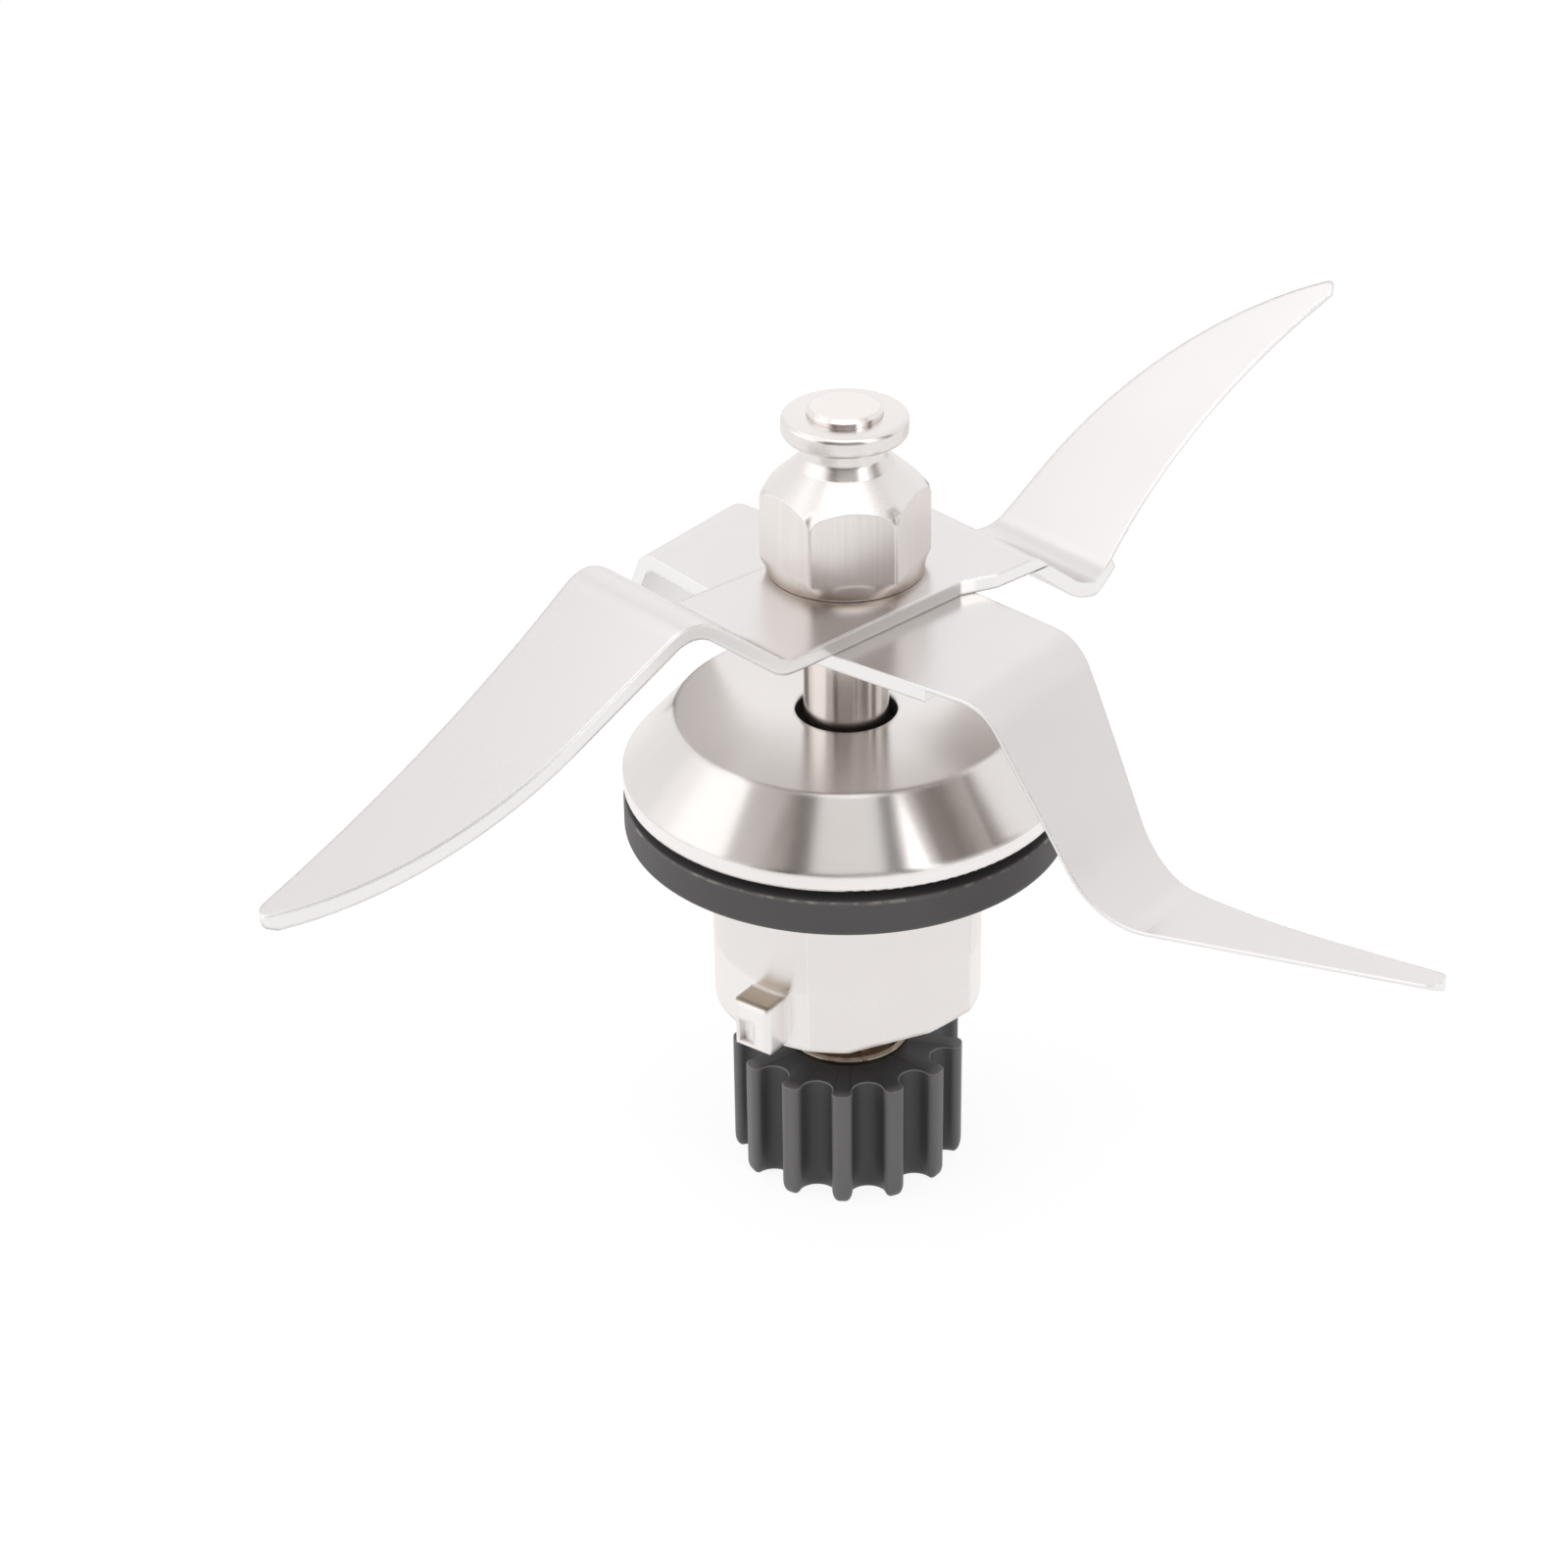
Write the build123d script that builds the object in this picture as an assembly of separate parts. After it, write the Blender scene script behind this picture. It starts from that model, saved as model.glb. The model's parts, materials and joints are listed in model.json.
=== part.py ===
from build123d import *
import os
from math import cos, radians, sin, tan

# Blender blade assembly in millimetres. Z is the spindle axis, upwards, and Z = 0 is the gear's resting end.
# Seen from the front, X is to the right and Y is away. Plan directions are degrees from X.

# Drive gear
gear_teeth = 13
gear_tip_radius = 11.6
gear_root_radius = 9.1
gear_height = 13.0
gear_tooth_direction = -94.4
gear_valley_radius = 1.65
gear_tip_round = 0.4
gear_end_round = 0.6
gear_recess_radius = 6.8
gear_recess_depth = 4.2

# Bearing housing: a turned flange with a spigot, two flats and two bayonet lugs
housing_gap = 4.8
spigot_height = 25.1
spigot_radius = 13.3
spigot_lead_in = 2.35
spigot_lead_height = 1.45
flat_distance = 10.05
flat_direction = -67.0
lug_direction = -126.5
lug_width = 4.1
lug_reach = 16.2
lug_rise = 1.95
lug_height = 5.2
lug_edge = 0.5
lug_pocket_width = 1.6
lug_pocket_height = 2.4
lug_pocket_depth = 0.7
lug_pocket_rise = 1.85
lug_pocket_offset = -0.6
lip_radius = 21.75
lip_height = 1.75
cone_height = 5.85
cone_top_radius = 16.7
rim_round = 0.3
shaft_hole_radius = 5.0
top_wall = 2.2

# Sealing ring under the flange
seal_height = 4.95
seal_step_height = 1.1
seal_step_radius = 18.6
seal_edge_round = 0.8
seal_land_radius = 16.4
seal_land_depth = 0.4
seal_ears = 6
seal_ear_radius = 0.9
seal_ear_centre = 16.2

# Ball bearings, two alike
bearing_radius = 7.0
bearing_bore_radius = 3.5
bearing_width = 5.0
ball_radius = 1.0
ball_count = 7
outer_land_radius = 5.85
inner_land_radius = 4.65
cage_inner_radius = 4.85
cage_outer_radius = 5.65
cage_height = 2.8
shield_thickness = 0.3
shield_setback = 0.15
shield_outer_radius = 6.2

# Shaft seal with its garter spring
shaft_seal_height = 4.0
shaft_seal_wall = 0.9
shaft_seal_web = 0.9
lip_contact_height = 2.0
lip_thickness = 0.85
spring_wire_radius = 0.35

# Internal retaining ring below the lower bearing
circlip_thickness = 0.9
circlip_depth = 0.4
circlip_width = 1.0
circlip_gap_angle = 26.0
circlip_ear_radius = 1.0
circlip_hole_radius = 0.5

# Spindle
shaft_radius = 4.13
shaft_end_radius = 3.55
shaft_end_rise = 0.8
shaft_end_chamfer = 0.35
blade_seat_flats = 2.9
gear_seat_radius = 3.0
gear_seat_flats = 2.45
shaft_rise = 12.2
collar_radius = 4.6
collar_flange_radius = 6.1
collar_flange_height = 0.8
collar_edge = 0.3
clip_groove_depth = 0.4
shaft_tail = 1.2

# Gear washer and its retaining clip
washer_radius = 5.6
washer_thickness = 0.8
clip_radius = 4.1
clip_thickness = 0.8
clip_gap_angle = 70.0

# Blade nut: hexagon below, waisted neck and flange above
nut_across_flats = 14.1
nut_corner_radius = 8.08
nut_corner_direction = -115.2
nut_hex_height = 8.0
nut_shoulder_round = 1.2
nut_shoulder_height = 3.4
nut_shoulder_radius = 4.75
nut_neck_radius = 4.05
nut_neck_round = 1.4
nut_neck_height = 13.85
nut_flange_radius = 6.0
nut_flange_height = 2.0
nut_flange_round = 0.55
nut_foot_chamfer = 0.55
nut_foot_height = 0.9

# Blades, bent from sheet. Along is the distance from the axis on the strip, across is to its left.
blade_thickness = 1.5
ground_edge_width = 2.2
ground_edge_land = 0.35
ground_over_reach = 0.2
ground_start = 0.12
blade_tip_round = 0.9

# Upper blade: its front arm rises and falls, its back arm dips and climbs
upper_direction = 41.0
upper_near = -9.8
upper_far = 5.3
upper_hub_along = -14.0
upper_hub_near = -10.4
upper_notch_along = 5.8
upper_notch_near = -9.6
upper_notch_end = 9.5
upper_rise_fold = 16.6
upper_rise_angle = 39.0
upper_crest_fold = 26.8
upper_fall_angle = 28.0
upper_front_reach = 67.0
upper_front_bow_start = 39.5
upper_front_waist = 3.15
upper_front_tip = 4.4
upper_dip_fold = 14.6
upper_dip_angle = 39.0
upper_trough_fold = 22.8
upper_climb_angle = 33.0
upper_back_reach = 58.0
upper_back_near = -10.8
upper_back_waist = -7.45
upper_back_tip = -10.8
upper_back_bow_start = 31.0
upper_back_far = 4.9
rise_round = 2.0
crest_round = 5.0
dip_round = 3.0
trough_round = 5.0

# Lower blade: its right arm drops and runs out flat, its left arm drops steeply
lower_direction = -37.8
lower_near = -12.7
lower_near_corner = 5.0
lower_far = 5.4
lower_far_corner = 10.0
lower_drop_fold = 24.8
lower_drop_angle = 55.0
lower_run_fold = 37.4
lower_run_angle = 10.5
lower_reach = 71.4
lower_knee_along = 21.2
lower_knee_far = 3.8
lower_knee_slope = 0.25
lower_hip_along = 35.0
lower_hip_far = -1.3
lower_waist_along = 49.8
lower_waist_far = -6.4
lower_tip_far = -10.3
lower_tip_round = 1.1
lower_tip_slope = 0.165
lower_ground_start = 18.4
lower_left_fold = 19.5
lower_left_angle = 62.0
lower_left_near = -6.6
lower_left_far = 7.4
lower_left_foot = 28.6
lower_left_foot_angle = 12.0
lower_left_reach = 38.0
lower_left_tip_near = 2.0
drop_round = 5.0
run_round = 8.0
left_drop_round = 3.0
left_foot_round = 4.0

# Clearances
press_gap = 0.01
running_gap = 0.05
ball_gap = 0.02
pocket_gap = 0.08
groove_gap = 0.05

# Heights up the axis
gear_top = gear_height
housing_bottom = gear_top + housing_gap
lip_bottom = housing_bottom + spigot_height
lip_top = lip_bottom + lip_height
cone_top = lip_top + cone_height
bore_top = cone_top - top_wall
seal_bottom = lip_bottom - seal_height
upper_bearing_top = bore_top - shaft_seal_height
upper_bearing_bottom = upper_bearing_top - bearing_width
circlip_bottom = housing_bottom + 2 * circlip_thickness
lower_bearing_bottom = circlip_bottom + circlip_thickness
lower_bearing_top = lower_bearing_bottom + bearing_width
blade_seat = cone_top + shaft_rise
lower_blade_top = blade_seat + blade_thickness
upper_blade_top = lower_blade_top + blade_thickness
nut_top = upper_blade_top + nut_neck_height + nut_flange_height
shaft_top = nut_top + shaft_end_rise
washer_bottom = gear_recess_depth - washer_thickness
clip_bottom = washer_bottom - clip_thickness

# Radii that follow from the sizes above
bore_radius = bearing_radius + press_gap
pitch_radius = (outer_land_radius + inner_land_radius) / 2
race_radius = ball_radius + ball_gap
groove_floor = bearing_radius + circlip_depth
ground_depth = blade_thickness - ground_edge_land


def turned(*outline):
    """A solid of revolution about Z from a closed outline of (radius, height) corners."""
    return revolve(make_face(Polyline(*[(r, 0, z) for r, z in outline], close=True)), Axis.Z)


def ring(outer, inner, bottom, top):
    """A plain ring about Z."""
    return turned((inner, bottom), (outer, bottom), (outer, top), (inner, top))


def around(direction):
    """The place of a piece that points outwards in a plan direction."""
    return Rot(0, 0, direction)


def flatted(radius, distance, bottom, top):
    """A round bar with two opposite flats across X."""
    bar = Pos(0, 0, bottom) * Cylinder(radius, top - bottom, align=(Align.CENTER, Align.CENTER, Align.MIN))
    return bar & Pos(0, 0, bottom) * Box(
        2 * distance, 2 * radius, top - bottom, align=(Align.CENTER, Align.CENTER, Align.MIN)
    )


# Bearing housing
def make_housing():
    corners = [
        (bore_radius, housing_bottom),
        (spigot_radius - spigot_lead_in, housing_bottom),
        (spigot_radius, housing_bottom + spigot_lead_height),
        (spigot_radius, lip_bottom),
        (lip_radius, lip_bottom),
        (lip_radius, lip_top),
        (cone_top_radius, cone_top),
        (shaft_hole_radius, cone_top),
        (shaft_hole_radius, bore_top),
        (bore_radius, bore_top),
    ]
    section = make_face(Polyline(*[(r, z) for r, z in corners], close=True))
    rims = [v for v in section.vertices() if v.X > spigot_radius + rim_round]
    section = fillet(rims, rim_round)
    body = revolve(Plane.XZ * section, Axis.Z)
    flat_height = seal_bottom - housing_bottom
    for turn in (0, 180):
        waste = Box(lip_radius, 2 * spigot_radius, flat_height, align=(Align.MIN, Align.CENTER, Align.MIN))
        body -= around(flat_direction + turn) * Pos(flat_distance, 0, housing_bottom) * waste
        body += around(lug_direction + turn) * make_lug()
    body -= ring(groove_floor, bore_radius - press_gap, circlip_bottom - groove_gap, lower_bearing_bottom)
    return body


def make_lug():
    root = (spigot_radius + bore_radius) / 2
    size = lug_reach - root
    lug = Box(size, lug_width, lug_height, align=(Align.MIN, Align.CENTER, Align.MIN))
    bottom = housing_bottom + lug_rise
    lug = Pos(root, 0, bottom) * lug
    lug = fillet(lug.faces().sort_by(Axis.X)[-1].edges(), lug_edge)
    pocket = Box(2 * lug_pocket_depth, lug_pocket_width, lug_pocket_height)
    return lug - Pos(lug_reach, lug_pocket_offset, bottom + lug_pocket_rise) * pocket


# Sealing ring
def make_seal():
    bore = spigot_radius + press_gap
    step_bottom = lip_bottom - seal_step_height
    section = make_face(
        Polyline(
            (bore, seal_bottom),
            (lip_radius, seal_bottom),
            (lip_radius, step_bottom),
            (seal_step_radius, step_bottom),
            (seal_step_radius, lip_bottom),
            (bore, lip_bottom),
            close=True,
        )
    )
    outer = [v for v in section.vertices() if v.X > seal_step_radius + rim_round]
    low = [v for v in outer if v.Y < seal_bottom + rim_round]
    section = fillet(low, seal_edge_round)
    high = [v for v in section.vertices() if v.X > lip_radius - rim_round and v.Y > step_bottom - rim_round]
    section = fillet(high, rim_round)
    land = Circle(seal_land_radius)
    land += PolarLocations(seal_ear_centre, seal_ears) * Circle(seal_ear_radius)
    land = extrude(Pos(0, 0, seal_bottom) * land, seal_land_depth)
    return revolve(Plane.XZ * section, Axis.Z) - land


# Ball bearings
def race_groove(middle):
    return Pos(0, 0, middle) * Torus(pitch_radius, race_radius)


def make_outer_race(bottom):
    middle = bottom + bearing_width / 2
    race = ring(bearing_radius, outer_land_radius, bottom, bottom + bearing_width)
    depth = shield_setback + shield_thickness
    for low in (bottom, bottom + bearing_width - depth):
        race -= ring(shield_outer_radius + press_gap, outer_land_radius - press_gap, low, low + depth)
    return race - race_groove(middle)


def make_inner_race(bottom):
    middle = bottom + bearing_width / 2
    race = ring(inner_land_radius, bearing_bore_radius + press_gap, bottom, bottom + bearing_width)
    return race - race_groove(middle)


def make_shields(bottom):
    inner = inner_land_radius + 2 * running_gap
    low = bottom + shield_setback
    high = bottom + bearing_width - shield_setback - shield_thickness
    return [ring(shield_outer_radius, inner, z, z + shield_thickness) for z in (low, high)]


def ball_places(bottom):
    return Pos(0, 0, bottom + bearing_width / 2) * PolarLocations(pitch_radius, ball_count)


def make_balls(bottom):
    return [place * Sphere(ball_radius) for place in ball_places(bottom)]


def make_cage(bottom):
    low = bottom + (bearing_width - cage_height) / 2
    cage = ring(cage_outer_radius, cage_inner_radius, low, low + cage_height)
    wall = 2 * (cage_outer_radius - cage_inner_radius)
    for place in ball_places(bottom):
        cage -= place * Rot(0, 90, 0) * Cylinder(ball_radius + pocket_gap, wall)
    return cage


# Shaft seal
def make_shaft_seal():
    low = upper_bearing_top
    contact = shaft_radius + running_gap
    shoulder = contact + lip_thickness
    web_bottom = bore_top - shaft_seal_web
    lip_mid = low + lip_contact_height
    return turned(
        (bearing_radius - shaft_seal_wall, low),
        (bearing_radius, low),
        (bearing_radius, bore_top),
        (shoulder, bore_top),
        (contact, lip_mid),
        (shoulder, lip_mid - lip_thickness),
        (shoulder, web_bottom),
        (bearing_radius - shaft_seal_wall, web_bottom),
    )


def make_garter_spring():
    middle = upper_bearing_top + lip_contact_height
    coil = shaft_radius + running_gap + lip_thickness + spring_wire_radius + press_gap
    return Pos(0, 0, middle) * Torus(coil, spring_wire_radius)


# Retaining rings
def wedge(angle, reach):
    """A flat wedge from the axis, as wide as an angle about X."""
    along = reach * cos(radians(angle / 2))
    across = reach * sin(radians(angle / 2))
    return make_face(Polyline((0, 0), (along, -across), (along, across), close=True))


def make_housing_circlip():
    outer = groove_floor - groove_gap
    inner = outer - circlip_depth - circlip_width
    ear_centre = inner
    clip = Circle(outer) - Circle(inner)
    ears = Sketch()
    for side in (-1, 1):
        ears += Rot(0, 0, side * circlip_gap_angle) * Pos(ear_centre, 0) * Circle(circlip_ear_radius)
    clip += ears & Circle(outer)
    clip -= wedge(circlip_gap_angle, 2 * outer)
    for side in (-1, 1):
        clip -= Rot(0, 0, side * circlip_gap_angle) * Pos(ear_centre, 0) * Circle(circlip_hole_radius)
    return extrude(Pos(0, 0, circlip_bottom) * clip, circlip_thickness)


def make_gear_clip():
    inner = gear_seat_radius - clip_groove_depth + press_gap
    clip = Circle(clip_radius) - Circle(inner) - wedge(clip_gap_angle, 2 * clip_radius)
    return extrude(Pos(0, 0, clip_bottom) * clip, clip_thickness)


def make_gear_washer():
    return ring(washer_radius, gear_seat_radius + press_gap, washer_bottom, gear_recess_depth)


# Spindle
def make_shaft():
    shaft = ring_bar(shaft_radius, upper_bearing_top, blade_seat)
    shaft += ring_bar(bearing_bore_radius, gear_top, upper_bearing_top)
    shaft += flatted(shaft_end_radius, blade_seat_flats, blade_seat, upper_blade_top)
    stud = ring_bar(shaft_end_radius, upper_blade_top, shaft_top)
    shaft += chamfer(stud.faces().sort_by(Axis.Z)[-1].edges(), shaft_end_chamfer)
    tail = flatted(gear_seat_radius, gear_seat_flats, gear_recess_depth, gear_top)
    shaft += tail + ring_bar(gear_seat_radius, shaft_tail, gear_recess_depth)
    groove_inner = gear_seat_radius - clip_groove_depth
    return shaft - ring(2 * gear_seat_radius, groove_inner, clip_bottom, washer_bottom)


def ring_bar(radius, bottom, top):
    """A plain round bar about Z."""
    return Pos(0, 0, bottom) * Cylinder(radius, top - bottom, align=(Align.CENTER, Align.CENTER, Align.MIN))


def make_collar():
    inner = bearing_bore_radius + press_gap
    flange_top = gear_top + collar_flange_height
    return turned(
        (inner, gear_top),
        (collar_flange_radius, gear_top),
        (collar_flange_radius, flange_top - collar_edge),
        (collar_flange_radius - collar_edge, flange_top),
        (collar_radius, flange_top),
        (collar_radius, lower_bearing_bottom),
        (inner, lower_bearing_bottom),
    )


# Blade nut
def make_nut():
    foot = upper_blade_top
    shoulder = foot + nut_hex_height
    neck_low = shoulder + nut_shoulder_height
    flange_low = foot + nut_neck_height
    bore = shaft_end_radius + press_gap
    section = make_face(
        Polyline(
            (bore, foot),
            (nut_corner_radius - nut_foot_chamfer, foot),
            (nut_corner_radius, foot + nut_foot_height),
            (nut_corner_radius, shoulder),
            (nut_shoulder_radius, neck_low - (nut_shoulder_radius - nut_neck_radius) / 2),
            (nut_neck_radius, neck_low + nut_neck_round / 2),
            (nut_neck_radius, flange_low),
            (nut_flange_radius, flange_low),
            (nut_flange_radius, nut_top),
            (bore, nut_top),
            close=True,
        )
    )
    section = fillet(near_corner(section, nut_corner_radius, shoulder), nut_shoulder_round)
    section = fillet(near_corner(section, nut_neck_radius, neck_low + nut_neck_round / 2), nut_neck_round)
    section = fillet(near_corner(section, nut_flange_radius, flange_low), nut_flange_round)
    section = fillet(near_corner(section, nut_flange_radius, nut_top), nut_flange_round)
    body = revolve(Plane.XZ * section, Axis.Z)
    hexagon = RegularPolygon(nut_across_flats / 2, 6, major_radius=False)
    prism = extrude(Pos(0, 0, foot) * hexagon, nut_top - foot)
    return body & around(nut_corner_direction) * prism


def near_corner(section, radius, height):
    """The corner of a turned section nearest to a radius and a height."""
    return section.vertices().sort_by_distance((radius, height, 0))[0]


# Blades
def side_line(height, left, right):
    """Corners of a bent strip's top, seen from the side. Each arm is (fold places, slopes, reach)."""
    points = []
    for folds, slopes, reach, side in ((*left, -1), (*right, 1)):
        arm = [(side * folds[0], height)]
        for start, end, slope in zip(folds, [*folds[1:], reach], slopes):
            rise = (end - start) * tan(radians(slope))
            arm.append((side * end, arm[-1][1] + rise))
        points += arm[::-1] if side < 0 else arm
    return points


def bent_strip(points, rounds, near, far):
    """A sheet whose top follows the side line with rounded folds, between two straight edges."""
    top = FilletPolyline(*points, radius=rounds)
    with BuildSketch(Plane.XZ.offset(-far)) as side:
        with BuildLine():
            add(top)
            offset(amount=blade_thickness, side=Side.RIGHT)
        make_face()
    return extrude(side.sketch, far - near)


def cut_out(strip, outline, height):
    """The part of a bent strip inside a plan outline."""
    prism = extrude(outline, 2 * height)
    return strip & prism


def ground_cut(path, up):
    """What is ground off along a path under a sheet that lies to the path's left, with up its normal."""
    start = path @ 0
    inwards = up.cross(path % 0) * ground_edge_width
    rise = up * ground_depth
    beyond = (inwards + rise) * ground_over_reach
    slant = (inwards - rise) * ground_over_reach
    section = make_face(Polyline(start + inwards + slant, start + rise - slant, start - beyond, close=True))
    return sweep(section, path=path)


def under_arm(plan, fold, height, slope):
    """A plan curve laid on the underside of a straight arm that slopes outwards from a fold."""
    places = [plan @ t for t in (ground_start, (1 + ground_start) / 2, 1)]
    drop = blade_thickness / cos(radians(slope))
    heights = [height + (abs(p.X) - fold) * tan(radians(slope)) - drop for p in places]
    return ThreePointArc(*[(p.X, p.Y, z) for p, z in zip(places, heights)])


def arm_normal(side, slope):
    """The upward normal of an arm that slopes outwards."""
    return Vector(-side * sin(radians(slope)), 0, cos(radians(slope)))


def make_upper_blade():
    left = ((upper_rise_fold, upper_crest_fold), (upper_rise_angle, -upper_fall_angle), upper_front_reach)
    right = ((upper_dip_fold, upper_trough_fold), (-upper_dip_angle, upper_climb_angle), upper_back_reach)
    points = side_line(upper_blade_top, left, right)
    rounds = [crest_round, rise_round, dip_round, trough_round]
    strip = bent_strip(points, rounds, upper_back_near - blade_thickness, upper_far + blade_thickness)
    front_tip = (-upper_front_reach, upper_front_tip)
    back_tip = (upper_back_reach, upper_back_tip)
    near_left = (-upper_front_bow_start, upper_near)
    far_right = (upper_back_bow_start, upper_back_far)
    crest = (-upper_crest_fold, upper_far)
    front_waist = (-(upper_crest_fold + upper_front_reach) / 2, upper_front_waist)
    back_waist = ((upper_trough_fold + upper_back_reach) / 2, upper_back_waist)
    trough = (upper_trough_fold, upper_back_near)
    hub = (upper_hub_along, upper_hub_near)
    notch = (upper_notch_along, upper_notch_near)
    notch_end = (upper_notch_end, upper_back_near)
    front_edge = ThreePointArc(crest, front_waist, front_tip)
    back_edge = ThreePointArc(trough, back_waist, back_tip)
    outline = make_face(
        [
            back_edge,
            TangentArc(far_right, back_tip, tangent=(1, 0)),
            Line(far_right, crest),
            front_edge,
            TangentArc(near_left, front_tip, tangent=(-1, 0)),
            Polyline(near_left, hub, notch, notch_end, trough),
        ]
    )
    tips = [v for v in outline.vertices() if abs(v.X) > upper_back_reach - blade_tip_round]
    blade = cut_out(strip, fillet(tips, blade_tip_round), shaft_top)
    arms = (
        (front_edge, upper_crest_fold, points[1][1], -upper_fall_angle, -1),
        (back_edge, upper_trough_fold, points[-2][1], upper_climb_angle, 1),
    )
    for edge, fold, height, slope, side in arms:
        blade -= ground_cut(under_arm(edge, fold, height, slope), arm_normal(side, slope))
    return around(upper_direction) * blade


def make_lower_blade():
    left = ((lower_left_fold, lower_left_foot), (-lower_left_angle, lower_left_foot_angle), lower_left_reach)
    right = ((lower_drop_fold, lower_run_fold), (-lower_drop_angle, lower_run_angle), lower_reach)
    points = side_line(lower_blade_top, left, right)
    rounds = [left_foot_round, left_drop_round, drop_round, run_round]
    strip = bent_strip(points, rounds, lower_near, lower_left_far + blade_thickness)
    near_tip = (lower_reach, lower_near)
    far_tip = (lower_reach, lower_tip_far)
    knee = (lower_knee_along, lower_knee_far)
    hip = (lower_hip_along, lower_hip_far)
    waist = (lower_waist_along, lower_waist_far)
    left_tip = (-lower_left_reach, lower_left_tip_near)
    left_far = (-lower_left_reach, lower_left_far)
    left_near = (-lower_left_fold, lower_left_near)
    outline = make_face(
        [
            Line((lower_near_corner, lower_near), near_tip),
            Line(near_tip, far_tip),
            Spline(far_tip, waist, hip, knee, tangents=[(-1, lower_tip_slope), (-1, lower_knee_slope)]),
            Polyline(knee, (lower_far_corner, lower_far), (-lower_left_fold, lower_left_far), left_far),
            Line(left_far, left_tip),
            Polyline(left_tip, left_near, (lower_near_corner, lower_near)),
        ]
    )
    tips = [v for v in outline.vertices() if v.X > lower_reach - lower_tip_round]
    tips += [v for v in outline.vertices() if v.X < lower_tip_round - lower_left_reach]
    blade = cut_out(strip, fillet(tips, lower_tip_round), shaft_top)
    start = (lower_ground_start, lower_blade_top)
    top = FilletPolyline(start, *points[-3:], radius=[drop_round, run_round])
    under = offset(top, amount=blade_thickness, side=Side.RIGHT, closed=False)
    blade -= ground_cut(Plane.XZ.offset(-lower_near) * under, Vector(0, 0, 1))
    return around(lower_direction) * blade


# Drive gear
def make_gear():
    pitch = 360 / gear_teeth
    outline = Circle(gear_tip_radius)
    for tooth in range(gear_teeth):
        valley = Pos(gear_root_radius + gear_valley_radius, 0) * Circle(gear_valley_radius)
        mouth = Pos(gear_root_radius + gear_valley_radius, 0) * Rectangle(
            gear_tip_radius, 2 * gear_valley_radius, align=(Align.MIN, Align.CENTER)
        )
        outline -= Rot(0, 0, gear_tooth_direction + (tooth + 0.5) * pitch) * (valley + mouth)
    tips = [v for v in outline.vertices() if v.center().length > gear_tip_radius - gear_tip_round]
    outline = fillet(tips, gear_tip_round)
    gear = extrude(outline, gear_height)
    gear = fillet(gear.faces().sort_by(Axis.Z)[0].edges(), gear_end_round)
    gear -= ring_bar(gear_recess_radius, 0, gear_recess_depth)
    return gear - flatted(gear_seat_radius + press_gap, gear_seat_flats + press_gap, 0, gear_height)


def seat_hole():
    return flatted(shaft_end_radius + press_gap, blade_seat_flats + press_gap, blade_seat, upper_blade_top)


pieces = {
    "bearing_housing": make_housing(),
    "seal_ring": make_seal(),
    "shaft_seal": make_shaft_seal(),
    "garter_spring": make_garter_spring(),
    "outer_spacer": ring(bearing_radius, outer_land_radius, lower_bearing_top, upper_bearing_bottom),
    "housing_circlip": make_housing_circlip(),
    "drive_shaft": make_shaft(),
    "inner_spacer": ring(
        inner_land_radius, bearing_bore_radius + press_gap, lower_bearing_top, upper_bearing_bottom
    ),
    "shaft_collar": make_collar(),
    "blade_nut": make_nut(),
    "upper_blade": make_upper_blade() - seat_hole(),
    "lower_blade": make_lower_blade() - seat_hole(),
    "drive_gear": make_gear(),
    "gear_washer": make_gear_washer(),
    "gear_clip": make_gear_clip(),
}
for name, bottom in (("upper", upper_bearing_bottom), ("lower", lower_bearing_bottom)):
    pieces[f"{name}_outer_race"] = make_outer_race(bottom)
    pieces[f"{name}_inner_race"] = make_inner_race(bottom)
    pieces[f"{name}_shields"] = Compound(make_shields(bottom))
    pieces[f"{name}_balls"] = Compound(make_balls(bottom))
    pieces[f"{name}_cage"] = make_cage(bottom)

os.makedirs("parts", exist_ok=True)
for name, piece in pieces.items():
    export_step(piece, f"parts/{name}.step")
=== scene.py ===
"""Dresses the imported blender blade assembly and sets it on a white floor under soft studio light.

Lengths in the classes below are millimetres in the part's own frame: Z runs up the spindle, X is to the
right and Y is away from the front. Blender works in metres, so they are multiplied by MM where they are used.
"""

import json
import logging
import math
from dataclasses import dataclass, replace
from enum import Enum

import bpy
import numpy as np
from mathutils import Matrix

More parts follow.
